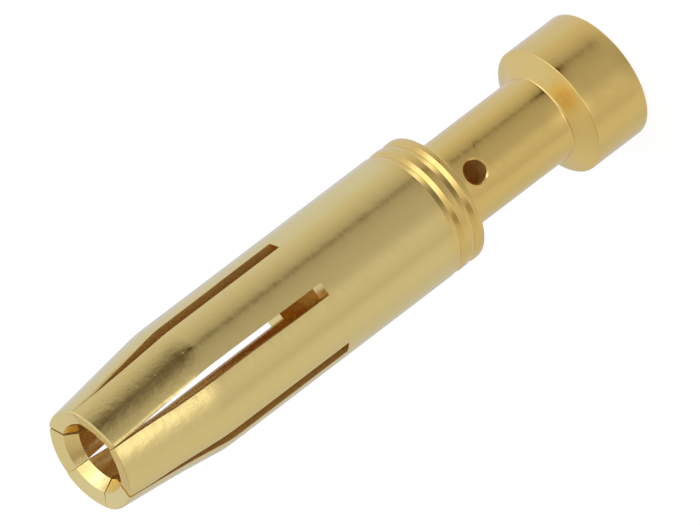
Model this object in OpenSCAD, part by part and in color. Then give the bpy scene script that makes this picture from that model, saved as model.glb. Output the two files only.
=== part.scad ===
// Crimp socket contact: a turned female contact with a slotted spring socket,
// a narrow retention neck and a crimp barrel with an inspection hole.
// Millimetres. The rear face of the collar rests on z = 0 and the mouth points to +Z.
// The inspection hole and one of the six slots face -Y.

/* [Overall] */
// Length from the collar's rear face to the mouth
overall_l = 22.8; // [22:0.1:26]

/* [Collar] */
// Diameter of the rear collar
collar_d = 4.6; // [4:0.05:6]
// Length of the collar's cylindrical rim
collar_l = 2.2; // [1.2:0.05:3]
// Slope of the collar's front shoulder, measured from flat
collar_slope = 30; // [15:1:45]
// Rounding of the collar's rims
collar_round = 0.1; // [0.02:0.01:0.2]

/* [Neck] */
// Diameter of the retention neck
neck_d = 3.1; // [2.6:0.05:3.6]
// Fillet where the neck meets the collar's sloped shoulder
foot_fillet = 0.12; // [0.02:0.01:0.2]
// Fillet where the neck meets the body's rear face
head_fillet = 0.2; // [0.02:0.01:0.3]
// Diameter of the inspection hole
hole_d = 0.8; // [0.5:0.02:1.2]
// Height of the inspection hole's centre above the rear face
hole_z = 6.41; // [5.2:0.01:6.6]
// Edge break of the inspection hole
hole_chamfer = 0.05; // [0.02:0.01:0.08]

/* [Body] */
// Diameter of the socket body
body_d = 4.6; // [4.4:0.05:5.2]
// Height of the body's rear edge above the rear face
body_z = 7.4; // [7.2:0.05:8]
// Rounding of the body's rear edge
body_round = 0.1; // [0.02:0.01:0.15]
// Width of each code groove at the surface
groove_w = 0.38; // [0.16:0.01:0.4]
// Depth of each code groove
groove_depth = 0.11; // [0.04:0.01:0.2]
// Distance from the body's rear edge to the first groove's middle
groove_inset = 0.39; // [0.36:0.01:0.6]
// Distance between the middles of the two grooves
groove_pitch = 0.62; // [0.5:0.01:1]

/* [Slots and tines] */
// Width of each slot
slot_w = 0.5; // [0.4:0.01:0.7]
// Length of the slots on the axis, measured back from the mouth
slot_l = 9.3; // [7:0.1:10]
// Diameter of the saw that leaves the curved slot ends
saw_d = 40; // [30:1:60]
// Length of the bent front of the tines, measured back from the mouth
tip_l = 4.34; // [3.5:0.02:4.4]
// Radius of the bend on the tines' outer side
bend_r = 6; // [4:0.5:14]
// Gap left between neighbouring tines at the mouth
mouth_gap = 0.02; // [0.01:0.01:0.2]

/* [Socket] */
// Diameter of the socket bore before the tines are bent
socket_d = 2.85; // [2.5:0.05:3]
// Depth of the socket bore from the mouth to its full-diameter end
socket_l = 11.6; // [10.5:0.1:12]
// Width of the lead-in at the mouth, measured radially
lead_w = 0.33; // [0.2:0.01:0.65]
// Depth of the lead-in at the mouth
lead_l = 0.32; // [0.15:0.01:0.8]
// How far the end face is dished, from its outer to its inner edge
mouth_dish = 0.1; // [0.02:0.01:0.2]
// Edge break around the outside of the mouth
mouth_chamfer = 0.05; // [0.02:0.01:0.1]

/* [Crimp barrel] */
// Diameter of the wire bore
crimp_d = 1.75; // [1.2:0.05:2]
// Depth of the wire bore to its full-diameter end
crimp_l = 7.5; // [7:0.1:8.4]
// Width of the wire bore's entry chamfer, measured radially
crimp_chamfer = 0.2; // [0.05:0.01:0.3]
// Point angle of the drills
drill_angle = 118; // [90:1:140]

/* [Hidden] */
$fn = 96;
far = 60;
tines = 6;
gold = [0.86, 0.72, 0.42];
collar_r = collar_d / 2;
neck_r = neck_d / 2;
body_r = body_d / 2;
socket_r = socket_d / 2;
crimp_r = crimp_d / 2;
bend_z = overall_l - tip_l;
slot_z = overall_l - slot_l;
socket_z = overall_l - socket_l;
// How far each tine's foot reaches into the body, below and beside its slots
root_overlap = slot_w;
root_side = slot_w / 5;
// Top of the unslotted body, just above the highest point of the slots' curved ends
ring_z = slot_z + body_r * body_r / saw_d + root_side;
shoulder_z = collar_l + (collar_r - neck_r) * tan(collar_slope);
point_k = tan(90 - drill_angle / 2);
// Inward lean of the tine ends, which closes each slot to its gap at the mouth
closing = slot_w - mouth_gap;
bend_angle = atan2(tip_l, bend_r - closing) - acos(bend_r / norm([bend_r - closing, tip_l]));
// Length of the straight part of a tine end past its bend
end_l = (tip_l - (bend_r - mouth_chamfer) * sin(bend_angle)) / cos(bend_angle);
// Radius of the round-bottomed code grooves and the offset of its centre
groove_r = (groove_w * groove_w / 4 + groove_depth * groove_depth) / (2 * groove_depth);
groove_x = body_r - groove_depth + groove_r;
// How far the outline turns at the collar's front rim, and back at the neck's foot
rim_turn = 90 - collar_slope;
// Where the fillet at the foot of the sloped shoulder touches the neck
foot_z = shoulder_z + foot_fillet * tan(rim_turn / 2);

// The part that a rounding takes off a corner, for an outline that turns there by the given angle
module corner_cut(r, turn = 90) {
    difference() {
        polygon([
            [0, 0],
            [2 * r, 0],
            [2 * r, 2 * r * tan(turn / 2)],
            [2 * r * cos(turn), 2 * r * sin(turn)]
        ]);
        circle(r = r);
    }
}

// Half outline of the collar, neck and unslotted body, without bores
module outer_half() {
    difference() {
        union() {
            polygon([
                [0, 0],
                [collar_r, 0],
                [collar_r, collar_l],
                [neck_r, shoulder_z],
                [neck_r, body_z],
                [body_r, body_z],
                [body_r, ring_z],
                [0, ring_z]
            ]);
            neck_foot();
            neck_head();
        }
        // Rounded rear rim of the collar
        translate([collar_r - collar_round, collar_round])
            mirror([0, 1])
                corner_cut(collar_round);
        // Rounded rear edge of the body
        translate([body_r - body_round, body_z + body_round])
            mirror([0, 1])
                corner_cut(body_round);
        // Rounded front rim of the collar
        translate([collar_r - collar_round, collar_l - collar_round * tan(rim_turn / 2)])
            corner_cut(collar_round, rim_turn);
        // The two code grooves
        for (i = [0, 1])
            translate([groove_x, body_z + groove_inset + i * groove_pitch])
                circle(r = groove_r);
    }
}

// Fillet between the sloped shoulder and the neck
module neck_foot() {
    difference() {
        polygon([
            [neck_r - 0.02, shoulder_z - 0.02],
            [neck_r, shoulder_z],
            [neck_r + (foot_z - shoulder_z) * cos(collar_slope),
                shoulder_z - (foot_z - shoulder_z) * sin(collar_slope)],
            [neck_r, foot_z],
            [neck_r - 0.02, foot_z]
        ]);
        translate([neck_r + foot_fillet, foot_z])
            circle(r = foot_fillet);
    }
}

// Fillet between the neck and the body's rear face
module neck_head() {
    translate([neck_r, body_z - head_fillet])
        difference() {
            translate([-0.02, 0])
                square([head_fillet + 0.02, head_fillet + 0.02]);
            translate([head_fillet, 0])
                circle(r = head_fillet);
        }
}

// Half outline of the wire bore with its entry chamfer and drill point
module crimp_half() {
    polygon([
        [0, -crimp_r],
        [crimp_d + crimp_chamfer, -crimp_r],
        [crimp_r, crimp_chamfer],
        [crimp_r, crimp_l],
        [0, crimp_l + crimp_r * point_k]
    ]);
}

// Half outline of the straight socket bore with its drill point
module socket_half() {
    polygon([
        [0, socket_z - socket_r * point_k],
        [socket_r, socket_z],
        [socket_r, far],
        [0, far]
    ]);
}

// Plan of the space one tine takes up between its two slots
module tine_wedge(inset = 0) {
    apex = slot_w + 2 * inset;
    polygon([
        [apex, 0],
        [apex + body_d * cos(30), body_d * sin(30)],
        [apex + body_d * cos(30), -body_d * sin(30)]
    ]);
}

// Plan of one tine about the contact's axis, or of its core
module tine_plan(inset = 0) {
    intersection() {
        difference() {
            circle(r = body_r - inset);
            circle(r = socket_r + inset);
        }
        tine_wedge(inset);
    }
}

// Core that ties two lengths of a tine together across their joint at z = 0
module tine_core() {
    translate([0, 0, -root_side])
        linear_extrude(height = 2 * root_side)
            tine_plan(root_side);
}

// Half outline of the straight front of a tine, with dished end, lead-in and edge break
module end_half() {
    polygon([
        [socket_r, 0],
        [body_r, 0],
        [body_r, end_l - mouth_chamfer],
        [body_r - mouth_chamfer, end_l],
        [socket_r + lead_w, end_l - mouth_dish],
        [socket_r, end_l - mouth_dish - lead_l]
    ]);
}

// Places its children on the straight end of a tine, past the bend
module past_bend() {
    translate([body_r - bend_r, 0, bend_z])
        rotate([0, -bend_angle, 0])
            translate([bend_r - body_r, 0, 0])
                children();
}

// One tine on +X, from inside the body to the mouth
module tine() {
    translate([0, 0, slot_z - root_overlap])
        linear_extrude(height = bend_z - slot_z + root_overlap)
            tine_plan();
    // The bend, swept a little too far and trimmed where the straight end starts
    difference() {
        translate([body_r - bend_r, 0, bend_z])
            rotate([90, 0, 0])
                rotate_extrude(angle = bend_angle + 3, $fn = 360)
                    translate([bend_r - body_r, 0])
                        tine_plan();
        past_bend()
            translate([-body_d, -body_d, 0])
                cube([2 * body_d, 2 * body_d, body_d]);
    }
    translate([0, 0, bend_z])
        tine_core();
    // The straight end that leans inward
    past_bend()
        tine_core();
    past_bend()
        intersection() {
            rotate_extrude()
                end_half();
            translate([0, 0, -root_side])
                linear_extrude(height = end_l + 2 * root_side)
                    tine_wedge();
        }
}

// Collar, neck and body up to the slots' ends, with bores and inspection hole
module shank() {
    difference() {
        rotate_extrude()
            difference() {
                outer_half();
                crimp_half();
                socket_half();
            }
        // Curved ends of the slots: each saw cut makes two, and reaches in under the tines
        for (i = [0 : tines / 2 - 1])
            rotate([0, 0, 90 + i * 360 / tines])
                translate([0, 0, slot_z + saw_d / 2])
                    rotate([90, 0, 0])
                        cylinder(d = saw_d, h = slot_w + 2 * root_side, center = true);
        // Inspection hole through one wall, with its edge break
        translate([0, 0, hole_z])
            rotate([90, 0, 0]) {
                cylinder(d = hole_d, h = body_r);
                translate([0, 0, neck_r - hole_chamfer])
                    cylinder(d1 = hole_d, d2 = hole_d + 4 * hole_chamfer, h = 2 * hole_chamfer);
            }
    }
}

module socket_contact() {
    color(gold)
        union() {
            shank();
            for (i = [0 : tines - 1])
                rotate([0, 0, i * 360 / tines])
                    tine();
        }
}

socket_contact();
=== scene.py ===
import math

import bmesh
import bpy
import numpy as np
from mathutils import Matrix, Vector


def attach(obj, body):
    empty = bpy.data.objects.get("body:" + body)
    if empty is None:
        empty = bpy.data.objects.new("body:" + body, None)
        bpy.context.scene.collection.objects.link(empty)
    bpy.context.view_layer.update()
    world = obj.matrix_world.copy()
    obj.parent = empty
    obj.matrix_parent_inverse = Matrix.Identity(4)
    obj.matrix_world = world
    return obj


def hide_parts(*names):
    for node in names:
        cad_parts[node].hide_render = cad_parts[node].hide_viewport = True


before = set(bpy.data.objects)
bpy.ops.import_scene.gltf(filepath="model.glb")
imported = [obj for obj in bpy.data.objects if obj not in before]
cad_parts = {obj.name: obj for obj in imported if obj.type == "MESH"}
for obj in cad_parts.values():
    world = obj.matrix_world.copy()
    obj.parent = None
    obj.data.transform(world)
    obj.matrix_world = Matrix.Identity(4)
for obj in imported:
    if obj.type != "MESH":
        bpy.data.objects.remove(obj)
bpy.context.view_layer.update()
scene = bpy.context.scene

# Sizes in millimetres. The main ones are the source's. Those of the rims, the grooves, the mouth and the
# socket's bore were fitted to the photograph, and differ from the source by less than a tenth.
OVERALL_L = 22.8
COLLAR_R, COLLAR_L, COLLAR_SLOPE, COLLAR_ROUND, COLLAR_RIM = 2.3, 2.2, 30.0, 0.07, 0.06
NECK_R, NECK_FOOT, NECK_HEAD = 1.55, 0.12, 0.2
HOLE_R, HOLE_Z, HOLE_CHAMFER = 0.4, 6.41, 0.05
BODY_R, BODY_Z, BODY_ROUND = 2.3, 7.4, 0.05
GROOVE_W, GROOVE_DEPTH, GROOVES = 0.38, 0.08, (7.79, 8.41)
# Share of a groove's width that its steeper rear wall takes up
GROOVE_REAR = 0.42
SLOT_HALF, SLOT_Z, SAW_R = 0.25, 13.5, 20.0
TIP_L, BEND_R, MOUTH_GAP = 4.34, 6.0, 0.02
SOCKET_R, SOCKET_Z = 1.45, 11.2
LEAD_W, LEAD_L, DISH, MOUTH_BREAK = 0.3, 0.4, 0.065, 0.05
CRIMP_R, CRIMP_L, CRIMP_CHAMFER = 0.875, 7.5, 0.2
DRILL_ANGLE = 118.0
DRILL_K = math.tan(math.radians(90 - DRILL_ANGLE / 2))
LEAD_R = SOCKET_R + LEAD_W
END_R = BODY_R - MOUTH_BREAK
BEND_Z = OVERALL_L - TIP_L
# The tines lean in until each slot is closed to the gap at the mouth
CLOSING = 2 * SLOT_HALF - MOUTH_GAP
BEND_ANGLE = math.atan2(TIP_L, BEND_R - CLOSING) - math.acos(BEND_R / math.hypot(BEND_R - CLOSING, TIP_L))
END_L = (TIP_L - (BEND_R - MOUTH_BREAK) * math.sin(BEND_ANGLE)) / math.cos(BEND_ANGLE)
TIP_Z = BEND_Z + BEND_R * BEND_ANGLE + END_L

# The slots lie at 30, 90, 150, 210, 270 and 330 degrees. Each saw cut makes two of them. The first cut
# runs a little beside the axis and a little deeper than the others, and the second one slightly askew.
SLOT_SIDE = (0.08, 0.05, 0.0, -0.08, -0.02, 0.0)
SLOT_DEEPER = (0.12, 0.0, 0.0, 0.12, 0.0, 0.0)
# The tines lean together unevenly: how far the lower and the upper side of each slot come in from the
# straight cut, at these heights along the unbent tines
UNEVEN_Z = (15.0, 17.0, 19.0, 20.0, 21.0, 21.8, 22.1, 22.4, TIP_Z)
NO_CHANGE = (0.0,) * 9
UNEVEN = (
    (NO_CHANGE, (0.02, 0.02, 0.01, -0.02, -0.02, -0.01, -0.01, -0.02, -0.03)),
    (NO_CHANGE, (0.02, 0.02, 0.01, -0.02, 0.0, 0.03, 0.04, 0.055, 0.016)),
    (NO_CHANGE, (0.02, 0.02, 0.0, -0.04, -0.04, -0.03, -0.03, -0.03, -0.03)),
    (NO_CHANGE, (0.02, 0.02, 0.01, 0.03, 0.03, 0.055, 0.06, 0.05, 0.01)),
    ((0.02, 0.06, 0.06, 0.01, 0.037, 0.035, 0.025, 0.02, 0.0),
     (0.0, -0.02, -0.025, -0.02, -0.01, 0.01, 0.01, 0.015, 0.0)),
    (NO_CHANGE, (0.02, 0.05, 0.055, 0.03, 0.04, 0.075, 0.08, 0.05, 0.016)),
)
# How much longer each tine is than the shortest
LONGER = (0.0, 0.0, 0.03, 0.05, 0.03, 0.0)
# How far some tines sag inward between their bend and their end, the power that moves the deepest point
# toward the bend, and the share of that length over which the sag sets in
SAG = (0.0, 0.0, 0.0, 0.045, -0.015, 0.045)
SAG_POWER, SAG_EASE = 0.75, 0.2
# One edge of each tine is rolled over near the mouth: how wide, how deep, and where it sets in
ROLL_W, ROLL_DEPTH, ROLL_Z = 0.16, 0.05, (19.0, 20.5)

# Width of the small edge breaks, and how far a surface turns at an edge that gets one, in degrees
EDGE_BREAK, SHARP = 0.032, 17
# Two slots have closed at the mouth, and their edges there are hardly broken: where the slots lie and how
# far beside that their edges are, in degrees, the height they start at, and their share of the full break
CLOSED_SLOTS, CLOSED_SIDE, CLOSED_Z, CLOSED_BREAK = (90, 330), 5, 22.1, 0.2

# Columns of the meshes: eight across each slot, and thirty-two across each tine, closer at its rolled edge
N_GAP, N_TINE = 8, 32
SECTOR = N_GAP + N_TINE
GAP_Y = np.linspace(-SLOT_HALF, SLOT_HALF, N_GAP + 1)
ACROSS = np.linspace(0, 1, N_TINE + 1) ** 1.5
# Rows of the meshes: heights along plain lengths, and radii on the flat and sloped faces
BARREL_ROWS = (4.5, 3.0, 1.5)
REAR_RADII = (1.5, 1.9)
COLLAR_ROWS = (0.6, 1.2, 1.8)
SHOULDER_RADII = (2.05, 1.8)
NECK_ROWS = (3.4, 4.1, 4.8, 5.4)
HEAD_RADIUS = 1.95
BODY_ROWS = (9.2, 9.9, 10.6, 11.3, 12.0, 12.6, 13.1)
BORE_ROWS = (11.9, 12.6, 13.1)
TINE_ROWS = (13.9, 14.5, 15.2, 16.0, 16.8, 17.5, 18.1)
BEND_ROWS = np.linspace(BEND_Z, BEND_Z + BEND_R * BEND_ANGLE, 19)
END_ROWS = (20.3, 20.7, 21.2, 21.6, 21.85, 22.1, 22.35)
MID_Z = np.concatenate([TINE_ROWS, BEND_ROWS, END_ROWS])
# Radii across the end of a tine, and the height of its end at each of them
RADII = np.concatenate([np.linspace(SOCKET_R, LEAD_R, 5), np.linspace(LEAD_R, END_R, 4)[1:], [BODY_R]])
END_Z = np.interp(RADII, [SOCKET_R, LEAD_R, END_R, BODY_R],
                  [TIP_Z - DISH - LEAD_L, TIP_Z - DISH, TIP_Z, TIP_Z - MOUTH_BREAK])
# Patch of mesh round the inspection hole: its half height, the columns on each side of the slot's own,
# its rows, and how far each of its rings has gone from the patch's outline to the hole
PATCH_HALF, PATCH_SIDE = 0.62, 23
HOLE_ROWS = np.linspace(HOLE_Z - PATCH_HALF, HOLE_Z + PATCH_HALF, 17)
PATCH_RINGS = (0.3, 0.58, 0.8, 0.93, 1.0)

# Finishes of the faces: polished plating outside, and duller plating in the socket, on the sawn walls
# and in the wire bore
PLATE, BORE, CUT, WIRE = 0, 1, 2, 3


class Builder:
    """Collects grids of points and the faces between them."""

    def __init__(self):
        self.points, self.faces, self.kinds, self.count = [], [], [], 0

    def grid(self, pts, kind=PLATE, wrap=False, skip=None):
        rows, cols = pts.shape[:2]
        start = self.count
        self.points.append(pts.reshape(-1, 3))
        self.count += rows * cols
        for i in range(rows - 1):
            for j in range(cols if wrap else cols - 1):
                if skip is not None and skip(i, j):
                    continue
                a, b = start + i * cols + j, start + i * cols + (j + 1) % cols
                self.faces.append((a, b, b + cols, a + cols))
                self.kinds.append(kind(i) if callable(kind) else kind)


def saw_arc(x, slot):
    """Height of a slot's curved floor at a distance x from the axis."""
    return SLOT_Z - SLOT_DEEPER[slot] + SAW_R - np.sqrt(SAW_R ** 2 - np.asarray(x) ** 2)


def slot_columns(slot, r):
    """Angles, from the slot's middle, and heights of its floor's columns at radius r."""
    y = SLOT_SIDE[slot] + GAP_Y
    return np.arcsin(y / r), saw_arc(np.sqrt(r * r - y * y), slot)


def ring_columns(r):
    """Angles of the columns round the whole part at radius r, and the heights of the slotted edge there."""
    angles, heights = [], []
    for k in range(6):
        a, z = slot_columns(k, r)
        a1, z1 = slot_columns((k + 1) % 6, r)
        centre = math.radians(30 + 60 * k)
        angles += list(centre + a) + list(centre + a[-1] + (math.pi / 3 + a1[0] - a[-1]) * ACROSS[1:-1])
        heights += list(z) + list(z[-1] + (z1[0] - z[-1]) * ACROSS[1:-1])
    return np.array(angles), np.array(heights)


def revolved(outline, r):
    """Grid of an outline turned about the axis, with the slotted edge at radius r as its last row."""
    angles, edge_z = ring_columns(r)
    outline = np.array(outline)
    pts = np.empty((len(outline) + 1, len(angles), 3))
    pts[:-1, :, 0] = outline[:, :1] * np.cos(angles)
    pts[:-1, :, 1] = outline[:, :1] * np.sin(angles)
    pts[:-1, :, 2] = outline[:, 1:]
    pts[-1, :, 0] = r * np.cos(angles)
    pts[-1, :, 1] = r * np.sin(angles)
    pts[-1, :, 2] = edge_z
    return pts


def arc(cx, cz, r, a0, a1, n):
    """Points of an arc in the (radius, height) plane, angles in degrees."""
    t = np.radians(np.linspace(a0, a1, n + 1))
    return [(cx + r * math.cos(a), cz + r * math.sin(a)) for a in t]


def groove(zc):
    """Outline of one code groove, with a steeper rear wall and a gentler front wall."""
    rear, front = zc - GROOVE_W / 2, zc + GROOVE_W / 2
    return [(BODY_R, rear), (BODY_R - GROOVE_DEPTH, rear + GROOVE_REAR * GROOVE_W), (BODY_R, front)]


def shank_outline():
    """Outline from the wire bore's drill point round the collar and the neck to the body's slots. Also the
    row where the hole's patch starts in the bore, the row after the bore, and the patch's row on the neck."""
    rise = math.tan(math.radians(COLLAR_SLOPE))
    turn = 90 - COLLAR_SLOPE
    tangent = math.tan(math.radians(turn / 2))
    foot_z = COLLAR_L + (COLLAR_R - NECK_R) * rise + NECK_FOOT * tangent
    out = [(r, CRIMP_L + (CRIMP_R - r) * DRILL_K) for r in (0.0, CRIMP_R * 0.5, CRIMP_R)]
    crimp_row = len(out)
    out += [(CRIMP_R, z) for z in HOLE_ROWS[::-1]]
    out += [(CRIMP_R, z) for z in BARREL_ROWS + (CRIMP_CHAMFER,)]
    bore_end = len(out)
    out += [(r, 0.0) for r in (CRIMP_R + CRIMP_CHAMFER,) + REAR_RADII]
    out += arc(COLLAR_R - COLLAR_ROUND, COLLAR_ROUND, COLLAR_ROUND, -90, 0, 5)
    out += [(COLLAR_R, z) for z in COLLAR_ROWS]
    out += arc(COLLAR_R - COLLAR_RIM, COLLAR_L - COLLAR_RIM * tangent, COLLAR_RIM, 0, turn, 6)
    out += [(r, COLLAR_L + (COLLAR_R - r) * rise) for r in SHOULDER_RADII]
    out += arc(NECK_R + NECK_FOOT, foot_z, NECK_FOOT, 180 + turn, 180, 6)
    out += [(NECK_R, z) for z in NECK_ROWS]
    neck_row = len(out)
    out += [(NECK_R, z) for z in HOLE_ROWS]
    out += arc(NECK_R + NECK_HEAD, BODY_Z - NECK_HEAD, NECK_HEAD, 180, 90, 8)
    out += [(HEAD_RADIUS, BODY_Z)]
    out += arc(BODY_R - BODY_ROUND, BODY_Z + BODY_ROUND, BODY_ROUND, -90, 0, 7)
    for zc in GROOVES:
        out += groove(zc)
    out += [(BODY_R, z) for z in BODY_ROWS]
    return out, crimp_row, bore_end, neck_row


def add_hole_patch(b, block, r, hole_r, kind):
    """Rings from the outline of a block of points to a round hole in a wall of radius r. Returns the last."""
    loop = np.concatenate([block[0, :-1], block[:-1, -1], block[-1, :0:-1], block[:0:-1, 0]])
    u, v = loop[:, 0], loop[:, 2] - HOLE_Z
    phi = np.arctan2(v / np.abs(v).max(), u / np.abs(u).max())
    rings = [loop]
    for t in PATCH_RINGS:
        x = u * (1 - t) + hole_r * np.cos(phi) * t
        z = v * (1 - t) + hole_r * np.sin(phi) * t
        rings.append(np.stack([x, -np.sqrt(r * r - x * x), z + HOLE_Z], -1))
    b.grid(np.array(rings), kind, wrap=True)
    return rings[-1]


def add_shank(b):
    """Collar, neck and body with the wire bore, and the inspection hole through one wall."""
    outline, crimp_row, bore_end, neck_row = shank_outline()
    pts = revolved(outline, BODY_R)
    # The hole faces -Y as the fifth slot does
    c0, c1 = 4 * SECTOR - PATCH_SIDE, 4 * SECTOR + N_GAP + PATCH_SIDE
    n_rows = len(HOLE_ROWS)

    def in_patch(i, j):
        return c0 <= j < c1 and any(row <= i < row + n_rows - 1 for row in (crimp_row, neck_row))

    b.grid(pts, kind=lambda i: WIRE if i < bore_end - 1 else PLATE, wrap=True, skip=in_patch)
    on_neck = pts[neck_row:neck_row + n_rows, c0:c1 + 1]
    in_bore = pts[crimp_row:crimp_row + n_rows, c0:c1 + 1][::-1]
    rim = add_hole_patch(b, on_neck, NECK_R, HOLE_R + HOLE_CHAMFER, PLATE)
    bottom = add_hole_patch(b, in_bore, CRIMP_R, HOLE_R, WIRE)
    phi = np.arctan2(rim[:, 2] - HOLE_Z, rim[:, 0])
    top = np.stack([HOLE_R * np.cos(phi), rim[:, 1] + HOLE_CHAMFER, HOLE_Z + HOLE_R * np.sin(phi)], -1)
    b.grid(np.array([rim, top]), wrap=True)
    b.grid(np.array([top * (1 - t) + bottom * t for t in (0.0, 0.25, 0.5, 0.75, 1.0)]), WIRE, wrap=True)


def add_socket_bore(b):
    """Socket bore below the slots, with its drill point."""
    outline = [(r, SOCKET_Z - (SOCKET_R - r) * DRILL_K) for r in (0.0, SOCKET_R * 0.5, SOCKET_R)]
    outline += [(SOCKET_R, z) for z in BORE_ROWS]
    b.grid(revolved(outline, SOCKET_R), BORE, wrap=True)


def tine_sides(k, r, z):
    """Angles of the two sides of tine k, from its middle, at radius r and height z before bending."""
    below = SLOT_SIDE[k - 1] + SLOT_HALF - np.interp(z, UNEVEN_Z, UNEVEN[k - 1][1])
    above = SLOT_SIDE[k] - SLOT_HALF + np.interp(z, UNEVEN_Z, UNEVEN[k][0])
    return -math.pi / 6 + np.arcsin(below / r), math.pi / 6 + np.arcsin(above / r)


def bent(p):
    """Points of an unbent tine on +X, moved to where the bend puts them."""
    x, y, z = p[..., 0], p[..., 1], p[..., 2]
    s = z - BEND_Z
    reach = x - BODY_R + BEND_R
    a = np.clip(s / BEND_R, 0, BEND_ANGLE)
    past = np.maximum(s - BEND_R * BEND_ANGLE, 0)
    q = np.empty_like(p)
    q[..., 0] = np.where(s > 0, reach * np.cos(a) - past * np.sin(a) + BODY_R - BEND_R, x)
    q[..., 1] = y
    q[..., 2] = np.where(s > 0, BEND_Z + reach * np.sin(a) + past * np.cos(a), z)
    return q


def turned(p, angle):
    """Points turned about the axis."""
    c, s = math.cos(angle), math.sin(angle)
    q = p.copy()
    q[..., 0] = c * p[..., 0] - s * p[..., 1]
    q[..., 1] = s * p[..., 0] + c * p[..., 1]
    return q


def tine_points(k, th, r, z):
    """Points of tine k, given by angle, radius and height before bending, in their final place."""
    near_edge = np.clip(1 - r * (th - tine_sides(k, r, z)[0]) / ROLL_W, 0, 1) ** 2
    outer = np.clip((r - LEAD_R) / (BODY_R - LEAD_R), 0, 1)
    r = r - ROLL_DEPTH * near_edge * outer * np.interp(z, ROLL_Z, (0, 1))
    p = bent(np.stack(np.broadcast_arrays(r * np.cos(th), r * np.sin(th), z), -1))
    along = np.clip((p[..., 2] - BEND_Z) / TIP_L, 0, 1)
    p[..., 0] -= SAG[k] * np.sin(math.pi * along ** SAG_POWER) * np.clip(along / SAG_EASE, 0, 1)
    return turned(p, k * math.pi / 3)


def tine_rows(foot, end):
    """Heights of a tine's rows before bending, with a column for each height of its foot and end."""
    return np.concatenate([foot[None], np.repeat(MID_Z[:, None], len(foot), 1), end[None]])


def add_tine(b, k):
    """Tine k: inside, outside, two sawn walls and the mouth, and the curved floor of the slot beside it."""
    end = END_Z + LONGER[k]
    feet = [saw_arc(np.sqrt(RADII ** 2 - (SLOT_SIDE[k - 1] + SLOT_HALF) ** 2), k - 1),
            saw_arc(np.sqrt(RADII ** 2 - (SLOT_SIDE[k] - SLOT_HALF) ** 2), k)]
    for n, kind in ((0, BORE), (-1, PLATE)):
        foot = feet[0][n] + (feet[1][n] - feet[0][n]) * ACROSS
        z = tine_rows(foot, np.full(N_TINE + 1, end[n]))
        lo, hi = tine_sides(k, RADII[n], z)
        b.grid(tine_points(k, lo + (hi - lo) * ACROSS, RADII[n], z), kind)
    for side in (0, 1):
        z = tine_rows(feet[side], end)
        b.grid(tine_points(k, tine_sides(k, RADII, z)[side], RADII, z), CUT)
    z = np.repeat(end[:, None], N_TINE + 1, 1)
    lo, hi = tine_sides(k, RADII[:, None], z)
    b.grid(tine_points(k, lo + (hi - lo) * ACROSS, RADII[:, None], z))
    y = np.repeat((SLOT_SIDE[k] + GAP_Y)[None], len(RADII), 0)
    x = np.sqrt(RADII[:, None] ** 2 - y ** 2)
    b.grid(turned(np.stack([x, y, saw_arc(x, k)], -1), math.radians(30) + k * math.pi / 3))


def edge_weight(edge):
    """Share of the full edge break that an edge of the mesh gets."""
    if len(edge.link_faces) != 2 or edge.calc_face_angle() <= math.radians(SHARP):
        return 0.0
    mid = (edge.verts[0].co + edge.verts[1].co) / 2
    angle = math.degrees(math.atan2(mid.y, mid.x)) % 360
    closed = mid.z > CLOSED_Z and min(abs(angle - slot) for slot in CLOSED_SLOTS) < CLOSED_SIDE
    return CLOSED_BREAK if closed else 1.0


def build_contact():
    """The whole contact as one object, in metres."""
    b = Builder()
    add_shank(b)
    add_socket_bore(b)
    for k in range(6):
        add_tine(b, k)
    mesh = bpy.data.meshes.new("socket_contact_mm")
    mesh.from_pydata(np.concatenate(b.points).tolist(), [], b.faces)
    mesh.polygons.foreach_set("material_index", b.kinds)
    bm = bmesh.new()
    bm.from_mesh(mesh)
    bmesh.ops.remove_doubles(bm, verts=bm.verts, dist=1e-4)
    bmesh.ops.recalc_face_normals(bm, faces=bm.faces)
    for face in bm.faces:
        face.smooth = True
    weight = bm.edges.layers.float.new("bevel_weight_edge")
    for edge in bm.edges:
        edge[weight] = edge_weight(edge)
    bm.to_mesh(mesh)
    bm.free()

    # Small edge breaks, made while the mesh is in millimetres
    rough = bpy.data.objects.new("socket_contact_mm", mesh)
    scene.collection.objects.link(rough)
    bevel = rough.modifiers.new("edges", "BEVEL")
    bevel.width = EDGE_BREAK
    bevel.segments = 2
    bevel.limit_method = "WEIGHT"
    bevel.harden_normals = True
    bevel.miter_outer = "MITER_ARC"
    bevel.material = PLATE
    dg = bpy.context.evaluated_depsgraph_get()
    broken = rough.evaluated_get(dg)
    fine = bpy.data.meshes.new_from_object(broken, preserve_all_data_layers=True, depsgraph=dg)
    bpy.data.objects.remove(rough)
    fine.transform(Matrix.Scale(0.001, 4))
    fine.name = "contact"
    obj = bpy.data.objects.new("contact", fine)
    scene.collection.objects.link(obj)
    return obj


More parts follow.
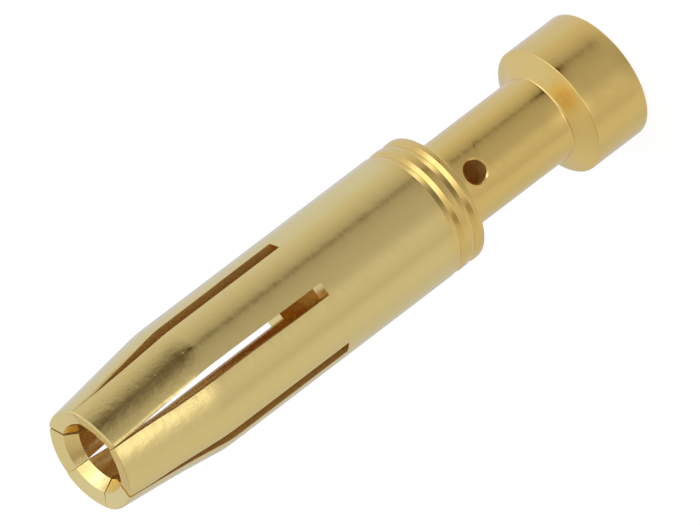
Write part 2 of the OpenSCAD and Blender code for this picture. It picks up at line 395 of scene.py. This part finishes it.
class Nodes:
    """Short names for making and joining shader nodes."""

    def __init__(self, owner):
        owner.use_nodes = True
        self.tree = owner.node_tree
        self.tree.nodes.clear()

    def new(self, kind, **settings):
        n = self.tree.nodes.new("ShaderNode" + kind)
        for k, v in settings.items():
            setattr(n, k, v)
        return n

    def put(self, socket, value):
        if isinstance(value, bpy.types.NodeSocket):
            self.tree.links.new(value, socket)
        else:
            socket.default_value = value

    def filled(self, node, *values):
        for i, v in enumerate(values):
            self.put(node.inputs[i], v)
        return node

    def math(self, op, *values):
        return self.filled(self.new("Math", operation=op), *values).outputs[0]

    def vec(self, op, *values):
        n = self.filled(self.new("VectorMath", operation=op), *values)
        return n.outputs["Value"] if op == "DOT_PRODUCT" else n.outputs[0]

    def parts(self, vector):
        return self.filled(self.new("SeparateXYZ"), vector).outputs

    def step(self, value, low, high, out_low=0.0, out_high=1.0):
        n = self.new("MapRange", interpolation_type="SMOOTHSTEP")
        return self.filled(n, value, low, high, out_low, out_high).outputs[0]

    def mix(self, factor, a, b):
        n = self.new("Mix", data_type="RGBA")
        self.put(n.inputs[0], factor)
        self.put(n.inputs[6], a)
        self.put(n.inputs[7], b)
        return n.outputs[2]

    def mix_shader(self, factor, a, b):
        return self.filled(self.new("MixShader"), factor, a, b).outputs[0]

    def noise(self, coords, scale, detail):
        n = self.new("TexNoise")
        self.put(n.inputs["Vector"], coords)
        n.inputs["Scale"].default_value = scale
        n.inputs["Detail"].default_value = detail
        return n.outputs["Fac"]


def plating(name):
    """A new material, its nodes, its shader, and the place on the part in millimetres with its height."""
    m = bpy.data.materials.new(name)
    t = Nodes(m)
    s = t.new("BsdfPrincipled")
    t.put(t.new("OutputMaterial").inputs[0], s.outputs[0])
    coords = t.vec("SCALE", t.new("TexCoord").outputs["Object"])
    coords.node.inputs["Scale"].default_value = 1000.0
    return m, t, s, coords, t.parts(coords)["Z"]


def gold_material():
    """Polished plating of the outside."""
    m, t, s, coords, z = plating("gold_plate")
    # It is paler on the socket and warmer on the rear half. The body's rear face is painted palest, a painted
    # highlight that makes it look brighter
    face = t.math("MULTIPLY", t.step(z, 7.36, 7.39), t.step(z, 7.41, 7.44, 1.0, 0.0))
    front = t.math("MAXIMUM", t.step(z, 8.3, 9.1), face)
    tone = t.mix(front, (0.95, 0.675, 0.22, 1), (0.95, 0.745, 0.30, 1))
    # Painted highlight: the body's rear face gets a pale tone so that it looks brighter
    tone = t.mix(face, tone, (0.97, 0.86, 0.55, 1))
    # Painted glints: tiny bright specks, painted paler and made rougher, most of them on the bent tine ends
    spots = t.new("TexVoronoi", feature="F1", voronoi_dimensions="3D")
    t.put(spots.inputs["Vector"], coords)
    spots.inputs["Scale"].default_value = 3.0
    lot = t.filled(t.new("SeparateColor"), spots.outputs["Color"]).outputs[0]
    chosen = t.math("LESS_THAN", lot, t.step(z, 18.0, 19.2, 0.03, 0.6))
    painted_glint = t.math("MULTIPLY", t.step(spots.outputs["Distance"], 0.05, 0.14, 1.0, 0.0), chosen)
    t.put(s.inputs["Base Color"], t.mix(painted_glint, tone, (1.0, 0.84, 0.44, 1)))
    s.inputs["Metallic"].default_value = 1.0
    # The sloped shoulder and the rear face are turned less finely than the rest
    shoulder = t.math("MULTIPLY", t.step(z, 2.2, 2.26), t.step(z, 2.6, 2.66, 1.0, 0.0))
    rough = t.step(t.noise(coords, 2.2, 3.0), 0.3, 0.7, 0.11, 0.16)
    rough = t.math("MULTIPLY_ADD", t.math("MAXIMUM", face, shoulder), 0.09, rough)
    t.put(s.inputs["Roughness"], t.math("MULTIPLY_ADD", painted_glint, 0.3, rough))
    # Heights in millimetres: a slow waviness, and a fine mottle that is stronger on the bent tine ends
    wave = t.math("MULTIPLY", t.noise(coords, 1.6, 2.0), 0.006)
    mottle = t.math("MULTIPLY", t.noise(coords, 3.4, 2.5), t.step(z, 18.3, 19.0, 0.0022, 0.011))
    bump = t.new("Bump")
    bump.inputs["Strength"].default_value = 1.0
    bump.inputs["Distance"].default_value = 0.001
    t.put(bump.inputs["Height"], t.math("ADD", wave, mottle))
    t.put(s.inputs["Normal"], bump.outputs[0])
    return m


def dull_material(name, dark, light, metallic, roughness, deep_shade=None):
    """Plating on a surface that was left as cut: it scatters the light, so walls that face each other look
    brown. A colour for far in, when given, is painted shade: the socket far behind the mouth is painted
    darker, as shade falls there."""
    m, t, s, coords, z = plating(name)
    tone = t.mix(t.noise(coords, 3.0, 3.0), dark, light)
    # Painted shade: darker far in the socket, behind the mouth
    if deep_shade:
        tone = t.mix(t.step(z, 13.6, 15.4), deep_shade, tone)
    t.put(s.inputs["Base Color"], tone)
    s.inputs["Metallic"].default_value = metallic
    s.inputs["Specular IOR Level"].default_value = 0.05
    uneven = t.step(t.noise(coords, 5.0, 2.0), 0.3, 0.7, roughness - 0.05, roughness + 0.05)
    t.put(s.inputs["Roughness"], uneven)
    return m


contact = build_contact()
# In the order of the finishes above
for material in (
    gold_material(),
    # The socket's plating, with painted shade far in
    dull_material("gold_plate_bore", (0.975, 0.81, 0.42, 1), (0.99, 0.85, 0.48, 1), 0.97, 0.2,
                  deep_shade=(0.82, 0.60, 0.27, 1)),
    dull_material("gold_plate_sawn", (0.76, 0.50, 0.15, 1), (0.82, 0.56, 0.18, 1), 0.7, 0.5),
    dull_material("gold_plate_wire", (0.97, 0.75, 0.37, 1), (0.98, 0.785, 0.42, 1), 0.9, 0.45),
):
    contact.data.materials.append(material)
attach(contact, "root")
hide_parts("socket_contact")

# Plain pale floor, which the camera sees white with a faint shadow and the metal doesn't see
FLOOR_HALF = 0.6
corners = [(x * FLOOR_HALF, y * FLOOR_HALF, 0) for x, y in ((-1, -1), (1, -1), (1, 1), (-1, 1))]
mesh = bpy.data.meshes.new("floor")
mesh.from_pydata(corners, [], [(0, 1, 2, 3)])
floor = bpy.data.objects.new("floor", mesh)
scene.collection.objects.link(floor)
m = bpy.data.materials.new("floor")
t = Nodes(m)
out = t.new("OutputMaterial")
white = t.new("Emission")
white.inputs["Strength"].default_value = 0.88
paper = t.new("BsdfDiffuse")
paper.inputs["Color"].default_value = (0.2, 0.2, 0.2, 1)
seen = t.filled(t.new("AddShader"), white.outputs[0], paper.outputs[0])
plain = t.new("BsdfDiffuse")
plain.inputs["Color"].default_value = (0.6, 0.6, 0.6, 1)
clear = t.new("BsdfTransparent")
ray = t.new("LightPath")
other = t.mix_shader(ray.outputs["Is Glossy Ray"], plain.outputs[0], clear.outputs[0])
t.put(out.inputs[0], t.mix_shader(ray.outputs["Is Camera Ray"], other, seen.outputs[0]))
floor.data.materials.append(m)

# Soft studio light from all round: azimuth and height of each light's middle, its spread, and its colour.
# Azimuth is counted as for the views: 0 is in front, at -Y. A negative colour is a dark flag.
LIGHTS = (
    (-24, -6, 10, (0.76, 0.78, 0.86)),
    (48.3, -3.5, 17.6, (-0.53, -0.55, -0.59)),
    (49, -22.5, 3.4, (-0.28, -0.29, -0.31)),
    (14, 22, 9.5, (0.60, 0.62, 0.66)),
    (36, 25, 10.5, (0.72, 0.74, 0.80)),
    (56, 26, 8.5, (0.60, 0.62, 0.66)),
    (68, 30, 9, (0.85, 0.92, 1.30)),
    (100, 36, 8, (0.30, 0.29, 0.27)),
    (86, 24, 6, (0.34, 0.33, 0.32)),
    (28, 46, 9, (-0.26, -0.28, -0.28)),
    (15, 50, 22, (0.12, 0.12, 0.13)),
    (76, -61, 7, (0.62, 0.63, 0.66)),
    (4, -66, 14, (-0.36, -0.36, -0.36)),
    (0, -90, 10, (0.35, 0.35, 0.36)),
    (180, 50, 28, (0.06, 0.06, 0.06)),
    (184, 3, 9, (-0.10, -0.18, -0.42)),
    (-2, -39, 24, (-0.18, -0.18, -0.18)),
    (-72, 44, 17, (-0.20, -0.27, -0.36)),
    (-40, 21, 9, (-0.30, -0.33, -0.36)),
    (-163, 28, 14, (0.05, 0.06, 0.08)),
    (-57, -25, 5.5, (-0.07, -0.07, -0.07)),
)


def toward(az, el):
    """Direction of an azimuth and a height, both in radians."""
    return Vector((math.sin(az) * math.cos(el), -math.cos(az) * math.cos(el), math.sin(el)))


world = bpy.data.worlds.new("studio")
scene.world = world
t = Nodes(world)
out = t.new("OutputWorld")
direction = t.new("TexCoord").outputs["Generated"]
# In front of the part the room is a plain grey, and behind it the metal sees pale paper
side = t.parts(direction)
paper = t.mix(t.step(side["X"], -0.35, 0.35), (0.58, 0.60, 0.645, 1), (0.64, 0.69, 0.86, 1))
behind = t.math("MULTIPLY", t.step(side["Y"], -0.08, 0.3), t.step(side["Z"], -0.85, -0.6))
total = t.mix(behind, (0.635, 0.635, 0.645, 1), paper)
for az, el, spread, colour in LIGHTS:
    k = 1 / math.radians(spread) ** 2
    facing = t.vec("DOT_PRODUCT", direction, toward(math.radians(az), math.radians(el)))
    near = t.math("EXPONENT", t.math("MULTIPLY_ADD", facing, k, -k))
    total = t.vec("MULTIPLY_ADD", near, colour, total)
studio = t.filled(t.new("Background"), total)
plain = t.filled(t.new("Background"), (1, 1, 1, 1))
ray = t.new("LightPath")
direct = t.math("MAXIMUM", ray.outputs["Is Camera Ray"], ray.outputs["Is Transmission Ray"])
t.put(out.inputs[0], t.mix_shader(direct, studio.outputs[0], plain.outputs[0]))

# Camera at the photograph's angle, with its roll
CAMERA_AZ, CAMERA_EL, CAMERA_ROLL = (math.radians(angle) for angle in (4.3, 27.2, 217.265))
CAMERA_DIST, CAMERA_AIM_Z = 0.75, 0.01118
back = toward(CAMERA_AZ, CAMERA_EL)
right = Vector((math.cos(CAMERA_AZ), math.sin(CAMERA_AZ), 0))
up = back.cross(right)
cam_x = math.sin(CAMERA_ROLL) * right + math.cos(CAMERA_ROLL) * up
cam_y = -math.cos(CAMERA_ROLL) * right + math.sin(CAMERA_ROLL) * up
cam_data = bpy.data.cameras.new("camera")
cam_data.lens = 1212.9
cam_data.sensor_width = 36.0
cam_data.sensor_fit = "HORIZONTAL"
cam_data.clip_start, cam_data.clip_end = 0.01, 10
camera = bpy.data.objects.new("camera", cam_data)
place = Vector((0, 0, CAMERA_AIM_Z)) + back * CAMERA_DIST
camera.matrix_world = Matrix.Translation(place) @ Matrix((cam_x, cam_y, back)).transposed().to_4x4()
scene.collection.objects.link(camera)
scene.camera = camera
scene.view_settings.view_transform = "Standard"
# Light bounces many times between the walls of the slots and bores
scene.cycles.max_bounces = 24
scene.cycles.glossy_bounces = 20
